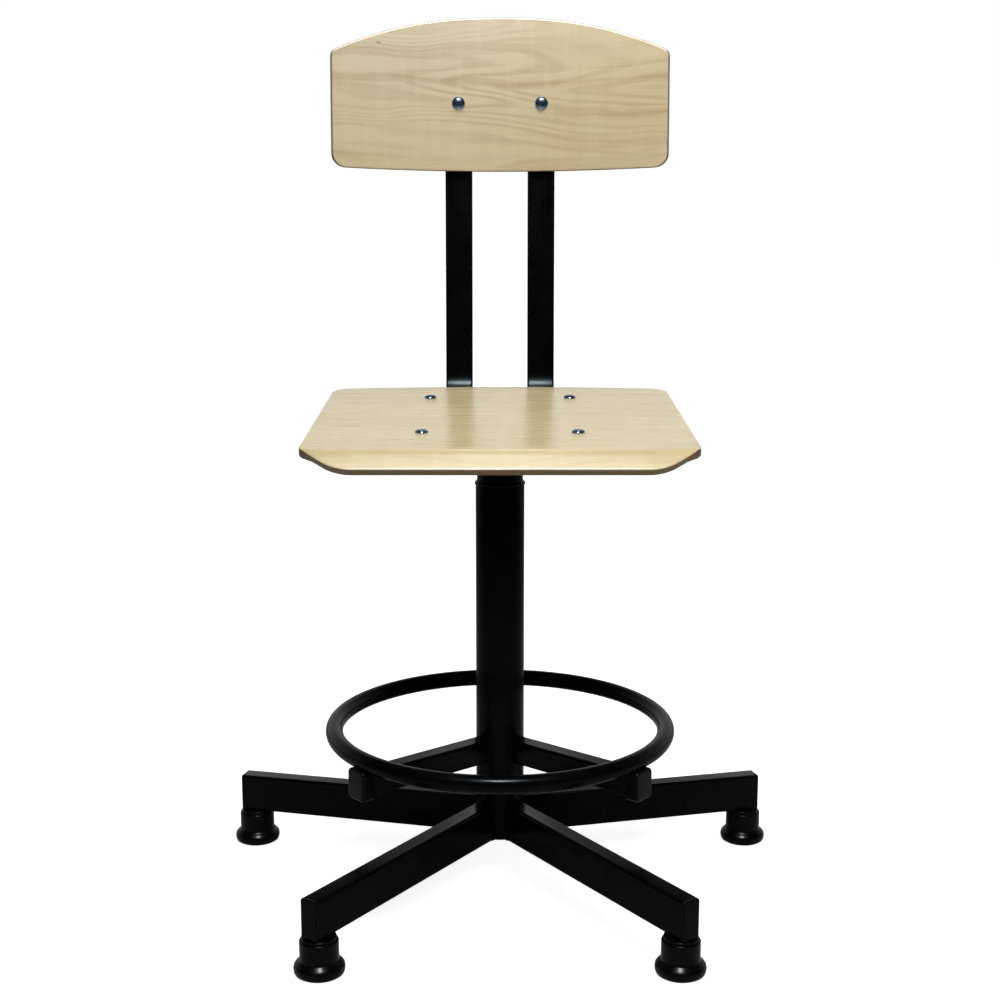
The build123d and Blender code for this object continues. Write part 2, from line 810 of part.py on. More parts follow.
with BuildPart() as back_board:
    with BuildSketch(back_plane.offset(back_bottom)):
        with BuildLine():
            inner = CenterArc((0, bow_centre), back_radius, 90 - bow_angle, 2 * bow_angle)
            outer = CenterArc((0, bow_centre), back_outer_radius, 90 - bow_angle, 2 * bow_angle)
            Line(inner @ 0, outer @ 0)
            Line(inner @ 1, outer @ 1)
        make_face()
    extrude(amount=back_height)
    with BuildSketch(facing_plane(back_plane, 0)):
        with BuildLine():
            crown = ThreePointArc(
                (-crown_half_width, back_top - crown_drop),
                (0, back_top),
                (crown_half_width, back_top - crown_drop),
            )
            right = TangentArc(crown @ 1, (half_back, back_top - back_side_drop), tangent=crown % 1)
            left = TangentArc(crown @ 0, (-half_back, back_top - back_side_drop), tangent=-(crown % 0))
            base = ThreePointArc(
                (-half_back, back_bottom + back_bottom_bow),
                (0, back_bottom),
                (half_back, back_bottom + back_bottom_bow),
            )
            Line(left @ 1, base @ 0)
            Line(right @ 1, base @ 1)
        make_face()
        ends = vertices().filter_by(lambda corner: abs(corner.X) > crown_half_width + 1)
        fillet(ends.group_by(Axis.Z)[0], back_bottom_corner_radius)
        ends = vertices().filter_by(lambda corner: abs(corner.X) > half_back - 0.01)
        fillet(ends.group_by(Axis.Z)[-1], back_top_corner_radius)
    extrude(amount=back_width, both=True, mode=Mode.INTERSECT)
    with BuildSketch(facing_plane(back_plane, screw_face)):
        with Locations((0, back_screw_height)):
            with GridLocations(upright_spacing, upright_spacing, 2, 1):
                Circle(screw_hole_diameter / 2)
    extrude(amount=-2 * back_thickness, mode=Mode.SUBTRACT)
    with BuildSketch(facing_plane(back_plane, screw_face)):
        with Locations((0, back_screw_height)):
            with GridLocations(upright_spacing, upright_spacing, 2, 1):
                Circle(back_screw_head_diameter / 2)
    extrude(amount=back_thickness, mode=Mode.SUBTRACT)
back_board.part.label = "back_board"
export_step(back_board.part, "parts/back_board.step")

# ---------------------------------------------------------------- screws and nuts


def domed_screw(head_diameter, shank_length):
    """A screw that stands on its head's underside at the origin, dome up and shank down."""
    with BuildPart() as screw:
        with BuildSketch(Plane.XZ):
            with BuildLine():
                dome = RadiusArc((0, screw_head_height), (head_diameter / 2, screw_head_rim), head_diameter)
                Polyline(
                    dome @ 1,
                    (head_diameter / 2, 0),
                    (screw_diameter / 2, 0),
                    (screw_diameter / 2, -shank_length),
                    (0, -shank_length),
                    dome @ 0,
                )
            make_face()
        revolve(axis=Axis.Z)
    return screw.part


with BuildPart() as nut:
    with BuildSketch():
        RegularPolygon(nut_width / 2, 6, major_radius=False)
        Circle(screw_diameter / 2, mode=Mode.SUBTRACT)
    extrude(amount=nut_height)

with BuildPart() as washer:
    with BuildSketch():
        Circle(washer_diameter / 2)
        Circle(screw_diameter / 2, mode=Mode.SUBTRACT)
    extrude(amount=washer_thickness)

stack_height = washer_thickness + nut_height
seat_shank = seat_thickness + plate_thickness + stack_height + screw_end
back_shank = upright_depth - screw_face + stack_height + screw_end
seat_screw = domed_screw(seat_screw_head_diameter, seat_shank)
back_screw = domed_screw(back_screw_head_diameter, back_shank)

seat_fasteners = {
    "seat_screws": (seat_screw, seat_plane),
    "seat_washers": (washer.part, plate_underside.offset(-washer_thickness)),
    "seat_nuts": (nut.part, plate_underside.offset(-stack_height)),
}
for name, (master, plane) in seat_fasteners.items():
    with BuildPart() as fasteners:
        with Locations(plane):
            with Locations((0, plate_centre)):
                with GridLocations(*screw_places):
                    add(master)
    fasteners.part.label = name
    export_step(fasteners.part, f"parts/{name}.step")

back_fasteners = {
    "back_screws": (back_screw, facing_plane(back_plane, screw_face)),
    "back_washers": (washer.part, facing_plane(back_plane, upright_depth + washer_thickness)),
    "back_nuts": (nut.part, facing_plane(back_plane, upright_depth + stack_height)),
}
for name, (master, plane) in back_fasteners.items():
    with BuildPart() as fasteners:
        with Locations(plane):
            with Locations((0, back_screw_height)):
                with GridLocations(upright_spacing, upright_spacing, 2, 1):
                    add(master)
    fasteners.part.label = name
    export_step(fasteners.part, f"parts/{name}.step")
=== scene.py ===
import json
from math import asin, cos, degrees, pi, radians, sin, sqrt, tan

import bmesh
import bpy
from mathutils import Matrix, Vector


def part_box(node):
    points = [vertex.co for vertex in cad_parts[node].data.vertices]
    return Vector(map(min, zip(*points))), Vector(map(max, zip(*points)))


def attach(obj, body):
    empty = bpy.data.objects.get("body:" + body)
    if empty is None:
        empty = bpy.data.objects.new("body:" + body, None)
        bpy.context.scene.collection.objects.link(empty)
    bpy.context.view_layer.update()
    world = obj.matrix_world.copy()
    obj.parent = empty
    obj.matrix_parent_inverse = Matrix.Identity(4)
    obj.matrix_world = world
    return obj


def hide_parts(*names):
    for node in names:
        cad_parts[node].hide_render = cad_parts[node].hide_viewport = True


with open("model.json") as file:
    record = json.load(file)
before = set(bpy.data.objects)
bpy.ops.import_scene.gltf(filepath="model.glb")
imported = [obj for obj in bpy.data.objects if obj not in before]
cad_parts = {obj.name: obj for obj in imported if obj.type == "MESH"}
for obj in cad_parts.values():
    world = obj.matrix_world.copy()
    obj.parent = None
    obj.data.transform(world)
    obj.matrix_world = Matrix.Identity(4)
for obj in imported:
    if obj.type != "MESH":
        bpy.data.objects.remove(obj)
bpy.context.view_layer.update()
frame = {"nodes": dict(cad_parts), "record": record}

# Looks of the swivel stool: veneered seat and backrest, coated steel, plated screws.
# Pieces are shaped in millimetres and brought to metres when they are finished.
MM = 0.001
nodes = frame["nodes"]
slot_of = {part["node"]: part["material_slot"] for part in frame["record"]["subparts"]}
body_of = {node: body for body, members in frame["record"]["behaviour"]["bodies"].items() for node in members}

PLACES = ("front_right", "side_right", "back", "side_left", "front_left")
ARM_PLACES = ("front_right", "back", "front_left")

# Seat board
seat_tilt = 2.3
seat_thickness = 9.5
seat_back_bow = 14.0
seat_back_corner = 22.0
seat_corner_width = 36.0
seat_corner_length = 26.0
seat_side_corner = 35.0
seat_front_corner = 40.0
waterfall_radius = 20.0
waterfall_angle = 38.0
waterfall_lip = 16.0
upper_arris = 1.7
lower_arris = 2.4
rear_corner_room = 26

# Backrest board, measured on the back plane
upright_front = 200.0
upright_lean = 6.3
upright_spacing = 92.0
upright_width = 30.0
back_radius = 567.0
back_thickness = 9.0
back_half_width = 182.8
back_bottom = 236.7
back_height = 166.7
back_bottom_bow = 3.0
back_bottom_corner = 15.0
back_top_corner = 9.0
crown_half_width = 60.0
crown_drop = 3.2
back_side_drop = 39.5
back_bottom_turn = 88
upper_corner_room = 16
lower_corner_room = 20
back_screw_height = 310.4
screw_pattern = (150.0, 200.0)
screw_pattern_centre = 4.0

# Make of the boards: number of plies, and thickness of the face veneer
plies = 7
veneer = 0.85

# Tubes, guide bush, glides, screws and welds
column_wall = 2.0
cylinder_wall = 2.0
cylinder_taper = 0.55
bush_lip_height = 3.5
bush_collar_radius = 23.5
glide_stem_radius = 18.5
glide_pin_radius = 5.5
seat_screw_head = 13.0
seat_screw_shank = 21.7
back_screw_head = 14.5
upright_depth = 15
back_screw_tail = 8.2
screw_head_height = 3.6
screw_head_rim = 0.9
screw_shank_radius = 3.0
leg_size = (20.0, 40.0)
leg_droop = 1.72
leg_level = 65.65
arm_size = (20.0, 25.0)
tube_corner_radius = 3.0
leg_weld_radius = 1.25
arm_weld_radius = 1.1


def box_mm(node):
    """Lowest and highest corner of a CAD node, in millimetres."""
    low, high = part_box(node)
    return low / MM, high / MM


def frame_matrix(origin, x_axis, y_axis, z_axis):
    """The matrix of a local frame with these axes at this origin."""
    turn = Matrix((x_axis, y_axis, z_axis)).transposed().to_4x4()
    return Matrix.Translation(origin) @ turn


tilt = radians(seat_tilt)
seat_high = box_mm("seat_board")[1]
seat_back = (seat_high.y - seat_thickness * sin(tilt)) / cos(tilt)
seat_height = seat_high.z - seat_back * sin(tilt)
seat_half_width = seat_high.x
across = Vector((1, 0, 0))
seat_rear = Vector((0, cos(tilt), sin(tilt)))
seat_up = Vector((0, -sin(tilt), cos(tilt)))
seat_frame = frame_matrix(Vector((0, 0, seat_height)), across, seat_rear, seat_up)
lean = radians(upright_lean)
back_rear = seat_rear * cos(lean) - seat_up * sin(lean)
back_up = seat_rear * sin(lean) + seat_up * cos(lean)
back_frame = frame_matrix(seat_frame @ Vector((0, upright_front, 0)), across, back_rear, back_up)


# ---------------------------------------------------------------- node helpers


def add_node(tree, kind, inputs, **settings):
    """Adds a node to a tree, with its settings, and gives each input a value or the link it is given."""
    made = tree.nodes.new(kind)
    for key, value in settings.items():
        setattr(made, key, value)
    for key, value in inputs.items():
        if isinstance(value, bpy.types.NodeSocket):
            tree.links.new(value, made.inputs[key])
        else:
            made.inputs[key].default_value = value
    return made


class Shader:
    """A material under construction: its tree, its Principled shader and short calls for its nodes."""

    def __init__(self, name):
        self.material = bpy.data.materials.new(name)
        self.material.use_nodes = True
        self.tree = self.material.node_tree
        self.surface = self.tree.nodes["Principled BSDF"]

    def node(self, kind, inputs, **settings):
        return add_node(self.tree, kind, inputs, **settings)

    def place(self):
        return self.node("ShaderNodeTexCoord", {}).outputs["Object"]

    def attribute(self, name):
        return self.node("ShaderNodeAttribute", {}, attribute_name=name).outputs["Vector"]

    def stretch(self, vector, scale, location=(0, 0, 0)):
        inputs = {"Vector": vector, "Scale": scale, "Location": location}
        return self.node("ShaderNodeMapping", inputs).outputs[0]

    def noise(self, vector, scale, detail=2.0, roughness=0.5, distortion=0.0):
        inputs = {"Vector": vector, "Scale": scale, "Detail": detail, "Roughness": roughness}
        inputs["Distortion"] = distortion
        return self.node("ShaderNodeTexNoise", inputs).outputs["Fac"]

    def maths(self, operation, a, b=0.0):
        return self.node("ShaderNodeMath", {0: a, 1: b}, operation=operation).outputs[0]

    def spread(self, value, low, high, to_low=0.0, to_high=1.0, smooth=False):
        kind = "SMOOTHSTEP" if smooth else "LINEAR"
        inputs = {"Value": value, "From Min": low, "From Max": high, "To Min": to_low, "To Max": to_high}
        return self.node("ShaderNodeMapRange", inputs, interpolation_type=kind).outputs["Result"]

    def blend(self, factor, a, b):
        """Mixes two colours, whose sockets are numbers 6 and 7 of a colour mix node."""
        return self.node("ShaderNodeMix", {0: factor, 6: a, 7: b}, data_type="RGBA").outputs[2]

    def bump(self, height, strength, distance):
        inputs = {"Height": height, "Strength": strength, "Distance": distance}
        return self.node("ShaderNodeBump", inputs).outputs["Normal"]

    def set(self, **values):
        for key, value in values.items():
            socket = self.surface.inputs[key.replace("_", " ")]
            if isinstance(value, bpy.types.NodeSocket):
                self.tree.links.new(value, socket)
            else:
                socket.default_value = value
        return self.material


def grey(value, blue):
    """A near-grey colour: its blue is higher than its red by this much, and its green by part of it."""
    return (value, value + blue * 0.4, value + blue, 1)


# ---------------------------------------------------------------- finishes


def coated_steel(name, dark, light, satin, pebble_scale, pebble_depth):
    """Stoved powder coat: a fine orange peel, with slow changes of tone and gloss."""
    shader = Shader(name)
    place = shader.place()
    slow = shader.noise(place, 38.0, 3.0)
    peel = shader.noise(place, pebble_scale, 2.0, 0.6)
    fine = shader.noise(place, pebble_scale * 3.1, 1.0)
    height = shader.maths("ADD", peel, shader.maths("MULTIPLY", fine, 0.35))
    colour = shader.blend(shader.spread(slow, 0.35, 0.65), dark, light)
    wear = shader.maths("ADD", slow, shader.maths("MULTIPLY", peel, 0.3))
    return shader.set(
        Base_Color=colour,
        Roughness=shader.spread(wear, 0.4, 0.9, satin, satin + 0.1),
        Specular_IOR_Level=0.05,
        Specular_Tint=(0.76, 0.90, 1.0, 1),
        Normal=shader.bump(height, 0.16, pebble_depth),
    )


def moulded_plastic(name, dark, light, satin):
    """Injection-moulded plastic with a spark-eroded grain and faint flow marks."""
    shader = Shader(name)
    place = shader.place()
    grain = shader.noise(place, 2600.0, 3.0, 0.65)
    flow = shader.noise(shader.stretch(place, (18, 18, 60)), 1.0, 3.0, 0.5, 0.8)
    return shader.set(
        Base_Color=shader.blend(shader.spread(flow, 0.3, 0.7), dark, light),
        Roughness=shader.spread(grain, 0.3, 0.7, satin - 0.06, satin + 0.08),
        Specular_IOR_Level=0.07,
        Normal=shader.bump(grain, 0.22, 0.00006),
    )


def gloss_lacquer(name, dark, light):
    """Gloss lacquer on steel, with a little dust in it."""
    shader = Shader(name)
    place = shader.place()
    dust = shader.noise(place, 1900.0, 3.0)
    slow = shader.noise(place, 160.0, 2.0)
    return shader.set(
        Base_Color=shader.blend(slow, dark, light),
        Roughness=shader.spread(dust, 0.3, 0.8, 0.16, 0.28),
        Specular_IOR_Level=0.35,
        Coat_Weight=0.05,
        Coat_Roughness=0.10,
        Normal=shader.bump(dust, 0.08, 0.00004),
    )


def plated_steel(name, colour, tint, satin, scratch):
    """Bare or plated steel: turning marks round the axis and small changes of shade."""
    shader = Shader(name)
    place = shader.place()
    marks = shader.noise(shader.stretch(place, (60, 60, 2400)), 1.0, 4.0, 0.7)
    cloud = shader.noise(place, 90.0, 4.0, 0.6)
    return shader.set(
        Base_Color=shader.blend(shader.spread(cloud, 0.35, 0.65), colour, tint),
        Metallic=1.0,
        Roughness=shader.spread(marks, 0.3, 0.7, satin, satin + 0.14),
        Normal=shader.bump(marks, scratch, 0.00003),
    )


def black_rubber():
    """Matt rubber with bloom."""
    shader = Shader("black rubber")
    place = shader.place()
    bloom = shader.noise(place, 120.0, 4.0, 0.7)
    pores = shader.noise(place, 3200.0, 2.0)
    return shader.set(
        Base_Color=shader.blend(bloom, (0.010, 0.010, 0.011, 1), (0.022, 0.021, 0.021, 1)),
        Roughness=shader.spread(pores, 0.3, 0.7, 0.72, 0.9),
        Specular_IOR_Level=0.3,
        Normal=shader.bump(pores, 0.3, 0.00008),
    )


def maple_plywood(name, thickness, shift, pale, honey, figure, gloss):
    """Lacquered plywood. The board's own flat coordinates, in metres, are in its attribute "sheet": X along
    the grain, Y across it and Z falling from zero at the upper face. So the figure follows the bends and the
    plies show on the edges."""
    shader = Shader(name)
    sheet = shader.attribute("sheet")
    depth = shader.node("ShaderNodeSeparateXYZ", {"Vector": sheet}).outputs["Z"]
    face = shader.node("ShaderNodeVectorMath", {0: sheet, 1: (1, 1, 0)}, operation="MULTIPLY").outputs[0]
    face = shader.stretch(face, (1, 1, 1), shift)

    # Slow waves carry the grain off the straight, and closed rings of the figure follow them.
    sway = shader.noise(shader.stretch(face, (4.2, 9.0, 1.0)), 1.0, 2.0)
    drift = shader.node("ShaderNodeCombineXYZ", {"Y": shader.maths("MULTIPLY", sway, 0.055)}).outputs[0]
    swayed = shader.node("ShaderNodeVectorMath", {0: face, 1: drift}, operation="ADD").outputs[0]
    hill = shader.noise(shader.stretch(swayed, (1.7, 13.0, 1.0)), 1.0, 1.5, 0.45)
    rings = shader.maths("SINE", shader.maths("MULTIPLY", hill, 118.0))
    rings = shader.spread(rings, -0.25, 1.0, 0.0, 1.0, True)
    patches = shader.noise(shader.stretch(face, (3.0, 10.0, 1.0)), 1.0, 2.0)
    rings = shader.maths("MULTIPLY", rings, shader.spread(patches, 0.38, 0.66))
    fibre = shader.noise(shader.stretch(swayed, (16.0, 760.0, 1.0)), 1.0, 4.0, 0.62)
    streak = shader.noise(shader.stretch(swayed, (2.6, 62.0, 1.0)), 1.0, 3.0, 0.55)
    ripple = shader.noise(shader.stretch(face, (72.0, 7.0, 1.0)), 1.0, 2.0, 0.5)
    cloud = shader.noise(shader.stretch(face, (5.0, 11.0, 1.0)), 1.0, 2.0)

    # Small pith flecks and pin knots
    scattered = shader.stretch(swayed, (26.0, 58.0, 1.0))
    cell = shader.node("ShaderNodeTexVoronoi", {"Vector": scattered, "Scale": 1.0})
    rare = shader.node("ShaderNodeSeparateColor", {"Color": cell.outputs["Color"]}).outputs["Red"]
    fleck = shader.spread(cell.outputs["Distance"], 0.05, 0.12, 1.0, 0.0, True)
    fleck = shader.maths("MULTIPLY", fleck, shader.maths("GREATER_THAN", rare, 0.93))

    wood = shader.blend(shader.spread(cloud, 0.3, 0.7, 0.0, 0.62), pale, honey)
    streaked = shader.spread(streak, 0.47, 0.70, 0.0, 0.55 * figure, True)
    wood = shader.blend(streaked, wood, (0.49, 0.335, 0.160, 1))
    wood = shader.blend(shader.maths("MULTIPLY", rings, 0.40 * figure), wood, (0.45, 0.305, 0.145, 1))
    wood = shader.blend(shader.spread(fibre, 0.42, 0.72, 0.0, 0.26 * figure), wood, (0.52, 0.40, 0.235, 1))
    wood = shader.blend(shader.spread(ripple, 0.45, 0.7, 0.0, 0.13), wood, (0.86, 0.76, 0.55, 1))
    wood = shader.blend(shader.maths("MULTIPLY", fleck, 0.5), wood, (0.21, 0.125, 0.062, 1))

    # Plies of the core, seen on the edges: every other one shows end grain and is darker.
    into = shader.maths("MULTIPLY", depth, -1.0)
    level = shader.maths("DIVIDE", into, thickness * MM / plies)
    uneven = shader.maths("MULTIPLY", shader.noise(sheet, 55.0, 3.0), 0.35)
    stripe = shader.maths("SINE", shader.maths("MULTIPLY", shader.maths("ADD", level, uneven), pi))
    stripe = shader.spread(stripe, -0.25, 0.25, 0.0, 1.0, True)
    pores = shader.noise(shader.stretch(sheet, (900.0, 900.0, 300.0)), 1.0, 2.0)
    core = shader.blend(stripe, (0.120, 0.070, 0.026, 1), (0.225, 0.145, 0.058, 1))
    core = shader.blend(shader.spread(pores, 0.45, 0.7, 0.0, 0.5), core, (0.070, 0.046, 0.028, 1))
    first = veneer * MM
    last = thickness * MM - first
    fade = 0.12 * MM
    below_face = shader.spread(into, first - fade, first + fade)
    above_back = shader.spread(into, last - fade, last + fade, 1.0, 0.0)
    inside = shader.maths("MULTIPLY", below_face, above_back)
    relief = shader.maths("ADD", shader.maths("MULTIPLY", fibre, 0.5), shader.maths("MULTIPLY", streak, 0.4))
    steps = shader.maths("MULTIPLY", shader.maths("MULTIPLY", inside, stripe), 1.6)
    relief = shader.maths("ADD", relief, steps)
    open_grain = shader.maths("ADD", fibre, shader.maths("MULTIPLY", inside, 0.7))
    return shader.set(
        Base_Color=shader.blend(inside, wood, core),
        Roughness=shader.spread(open_grain, 0.3, 1.4, gloss, gloss + 0.25),
        Specular_IOR_Level=0.5,
        Coat_Weight=0.12,
        Coat_Roughness=0.16,
        Normal=shader.bump(relief, 0.10, 0.00005),
    )


steel_coat = coated_steel(
    "black powder coat", grey(0.0007, 0.0009), grey(0.0013, 0.0014), 0.20, 1250.0, 0.00009
)
finishes = {
    "black_powder_coat": steel_coat,
    "black_lacquer": gloss_lacquer("gloss black lacquer", grey(0.0040, 0.0006), grey(0.0075, 0.0010)),
    "black_plastic": moulded_plastic(
        "black moulded plastic", grey(0.0009, 0.0005), grey(0.0016, 0.0008), 0.24
    ),
    "chrome": plated_steel("blue-tinted chrome", (0.22, 0.30, 0.42, 1), (0.17, 0.24, 0.35, 1), 0.10, 0.04),
    "zinc_plate": plated_steel("zinc plate", (0.55, 0.56, 0.58, 1), (0.42, 0.43, 0.45, 1), 0.26, 0.10),
    "bare_steel": plated_steel("turned steel", (0.44, 0.43, 0.42, 1), (0.33, 0.32, 0.31, 1), 0.24, 0.14),
    "rubber": black_rubber(),
}
seat_wood = maple_plywood(
    "maple plywood, seat",
    seat_thickness,
    shift=(0.31, 0.12, 0),
    pale=(0.750, 0.625, 0.350, 1),
    honey=(0.675, 0.545, 0.280, 1),
    figure=0.5,
    gloss=0.24,
)
back_wood = maple_plywood(
    "maple plywood, backrest",
    back_thickness,
    shift=(2.17, 0.63, 0),
    pale=(0.725, 0.612, 0.385, 1),
    honey=(0.650, 0.532, 0.310, 1),
    figure=1.0,
    gloss=0.24,
)


# ---------------------------------------------------------------- shaping helpers


def bevel(bm, edges, offset, segments, kind="EDGES"):
    bmesh.ops.bevel(
        bm,
        geom=edges,
        offset=offset,
        offset_type="OFFSET",
        segments=segments,
        profile=0.5,
        affect=kind,
        clamp_overlap=True,
        material=-1,
    )


def sharp_edges(bm, angle):
    """The edges where two faces meet at more than this angle, in degrees."""
    return [e for e in bm.edges if len(e.link_faces) == 2 and e.calc_face_angle(0.0) > radians(angle)]


def finished(bm, name, material, like, stands_for=None, crease=32.0):
    """Turns a bmesh in millimetres into a piece in metres that rides with the body of the CAD node
    it is like, and stands for the nodes that it is given."""
    bmesh.ops.transform(bm, matrix=Matrix.Scale(MM, 4), verts=bm.verts)
    mesh = bpy.data.meshes.new(name)
    bm.to_mesh(mesh)
    bm.free()
    for polygon in mesh.polygons:
        polygon.use_smooth = True
    mesh.set_sharp_from_angle(angle=radians(crease))
    mesh.materials.append(material)
    piece = bpy.data.objects.new(name, mesh)
    bpy.context.scene.collection.objects.link(piece)
    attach(piece, body_of[like])
    if stands_for is not None:
        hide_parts(*stands_for)
    return piece


def turned(bm, outline, centre=(0, 0), steps=96, arris=0.0, segments=3):
    """Turns a closed outline of (radius, height) points once round the vertical line through centre."""
    points = [bm.verts.new((radius, 0, height)) for radius, height in outline]
    edges = [bm.edges.new((points[i], points[(i + 1) % len(points)])) for i in range(len(points))]
    before = set(bm.verts) - set(points)
    section = points + edges
    bmesh.ops.spin(
        bm, geom=section, axis=(0, 0, 1), cent=(0, 0, 0), angle=2 * pi, steps=steps, use_merge=True
    )
    new = [v for v in bm.verts if v not in before]
    bmesh.ops.remove_doubles(bm, verts=new, dist=0.0005)
    new = [v for v in bm.verts if v not in before]
    faces = {f for v in new for f in v.link_faces}
    bmesh.ops.recalc_face_normals(bm, faces=list(faces))
    if arris:
        rims = [e for e in sharp_edges(bm, 24) if all(v in new for v in e.verts)]
        bevel(bm, rims, arris, segments)
    new = [v for v in bm.verts if v not in before]
    bmesh.ops.translate(bm, verts=new, vec=(centre[0], centre[1], 0))
    return new


def softened(node, width, segments=3, angle=35.0):
    """A copy of a CAD node's mesh in millimetres: doubles merged, flat faces made whole, arrises rounded."""
    bm = bmesh.new()
    bm.from_mesh(nodes[node].data)
    bmesh.ops.transform(bm, matrix=Matrix.Scale(1 / MM, 4), verts=bm.verts)
    bmesh.ops.remove_doubles(bm, verts=bm.verts, dist=0.002)
    flat = radians(0.4)
    bmesh.ops.dissolve_limit(bm, angle_limit=flat, verts=bm.verts, edges=bm.edges, delimit={"NORMAL"})
    bevel(bm, sharp_edges(bm, angle), width, segments)
    return bm


def soft_piece(node, width, segments=3, angle=35.0):
    bm = softened(node, width, segments, angle)
    return finished(bm, f"finished_{node}", finishes[slot_of[node]], node, [node])


# ---------------------------------------------------------------- boards


def round_corners(bm, corners):
    """Rounds flat corners: each is (x, y, radius, turn in degrees), turned into a run along its edges."""
    for x, y, radius, turn in corners:
        corner = min(bm.verts, key=lambda v: (v.co.x - x) ** 2 + (v.co.y - y) ** 2)
        bevel(bm, [corner], radius * tan(radians(turn) / 2), 8, "VERTICES")


def thickened(bm, thickness, top_arris, bottom_arris):
    """Gives a flat outline its thickness, downwards, and rounds its two rims."""
    sheet = list(bm.faces)
    if sheet[0].normal.z < 0:
        bmesh.ops.reverse_faces(bm, faces=sheet)
    grown = bmesh.ops.extrude_face_region(bm, geom=sheet)["geom"]
    lower_side = [v for v in grown if isinstance(v, bmesh.types.BMVert)]
    bmesh.ops.translate(bm, verts=lower_side, vec=(0, 0, -thickness))
    bmesh.ops.recalc_face_normals(bm, faces=bm.faces)
    for level, arris in ((0, top_arris), (-thickness, bottom_arris)):
        rim = [e for e in sharp_edges(bm, 60) if all(abs(v.co.z - level) < 0.001 for v in e.verts)]
        bevel(bm, rim, arris, 5)


def cut_across(bm, axis, places):
    """Cuts the board into strips at these places, so that it can bend."""
    normal = Vector((1, 0, 0)) if axis == "x" else Vector((0, 1, 0))
    for place in places:
        geometry = list(bm.verts) + list(bm.edges) + list(bm.faces)
        bmesh.ops.bisect_plane(bm, geom=geometry, dist=0.0005, plane_co=normal * place, plane_no=normal)


def keep_flat_place(bm):
    """Stores where each point lies in the flat board, in metres, before the board is bent."""
    layer = bm.verts.layers.float_vector.new("sheet")
    for vertex in bm.verts:
        vertex[layer] = vertex.co * MM


def evenly(low, high, count):
    return [low + (high - low) * step / count for step in range(count + 1)]


def make_seat():
    bend_length = waterfall_radius * radians(waterfall_angle)
    run = waterfall_radius * sin(radians(waterfall_angle)) + waterfall_lip * cos(radians(waterfall_angle))
    bend_start = run - upright_front
    flat_front = bend_start - bend_length - waterfall_lip
    half = seat_half_width
    corner_y = flat_front + seat_corner_length
    corner_x = half - seat_corner_width
    front_turn = degrees(asin(seat_corner_length / sqrt(seat_corner_length**2 + seat_corner_width**2)))
    rear_slope = degrees(asin(2 * seat_back_bow / half))

    bm = bmesh.new()
    straight = half - rear_corner_room
    rear = [(x, seat_back - seat_back_bow * (x / half) ** 2) for x in evenly(straight, -straight, 24)]
    rear_corner = seat_back - seat_back_bow
    outline = [(-corner_x, flat_front), (corner_x, flat_front), (half, corner_y), (half, rear_corner)]
    outline += rear + [(-half, rear_corner), (-half, corner_y)]
    bm.faces.new([bm.verts.new((x, y, 0)) for x, y in outline])
    round_corners(
        bm,
        [
            (side * x, y, radius, turn)
            for side in (-1, 1)
            for x, y, radius, turn in (
                (corner_x, flat_front, seat_front_corner, front_turn),
                (half, corner_y, seat_side_corner, 90 - front_turn),
                (half, rear_corner, seat_back_corner, 90 - rear_slope),
            )
        ],
    )
    thickened(bm, seat_thickness, upper_arris, lower_arris)
    cut_across(bm, "y", evenly(bend_start, bend_start - bend_length, 16))
    cut_across(bm, "y", evenly(-150, 160, 8))
    keep_flat_place(bm)
    for vertex in bm.verts:
        past = bend_start - vertex.co.y
        if past > 0:
            turn = min(past, bend_length) / waterfall_radius
            radius = waterfall_radius + vertex.co.z
            rest = max(past - bend_length, 0)
            vertex.co.y = bend_start - radius * sin(turn) - rest * cos(turn)
            vertex.co.z = radius * cos(turn) - waterfall_radius - rest * sin(turn)
    bmesh.ops.transform(bm, matrix=seat_frame, verts=bm.verts)
    return finished(bm, "veneered_seat", seat_wood, "seat_board", ["seat_board"], 50)


def crown(x):
    """How far the backrest's top edge lies below its highest point, at this distance from the middle."""
    past = max(abs(x) - crown_half_width, 0)
    near = min(abs(x), crown_half_width)
    slope = 2 * crown_drop / crown_half_width
    reach = back_half_width - crown_half_width
    curve = (back_side_drop - crown_drop - slope * reach) / reach**2
    return crown_drop * (near / crown_half_width) ** 2 + slope * past + curve * past**2


def make_backrest():
    outer_radius = back_radius + back_thickness
    contact = (upright_spacing - upright_width) / 2
    bow_centre = -sqrt(outer_radius**2 - contact**2)
    half = back_half_width
    top = back_bottom + back_height

    bm = bmesh.new()
    upper_end = half - upper_corner_room
    lower_end = half - lower_corner_room
    upper = [(x, top - crown(x)) for x in evenly(upper_end, -upper_end, 44)]
    lower = [
        (x, back_bottom + back_bottom_bow * (x / half) ** 2) for x in evenly(-lower_end, lower_end, 20)
    ]
    outline = lower + [(half, back_bottom + back_bottom_bow), (half, top - back_side_drop)]
    outline += upper + [(-half, top - back_side_drop), (-half, back_bottom + back_bottom_bow)]
    bm.faces.new([bm.verts.new((x, y, 0)) for x, y in outline])
    last_run = 4
    end_slope = degrees(asin((crown(half) - crown(half - last_run)) / last_run))
    round_corners(
        bm,
        [
            (side * half, y, radius, turn)
            for side in (-1, 1)
            for y, radius, turn in (
                (back_bottom + back_bottom_bow, back_bottom_corner, back_bottom_turn),
                (top - back_side_drop, back_top_corner, 90 - end_slope),
            )
        ],
    )
    thickened(bm, back_thickness, upper_arris, upper_arris)
    cut_across(bm, "x", evenly(-half + 2, half - 2, 72))
    keep_flat_place(bm)
    for vertex in bm.verts:
        turn = asin(vertex.co.x / back_radius)
        radius = back_radius - vertex.co.z
        height = vertex.co.y
        vertex.co = (radius * sin(turn), bow_centre + radius * cos(turn), height)
    bmesh.ops.transform(bm, matrix=back_frame, verts=bm.verts)
    return finished(bm, "veneered_backrest", back_wood, "back_board", ["back_board"], 50)


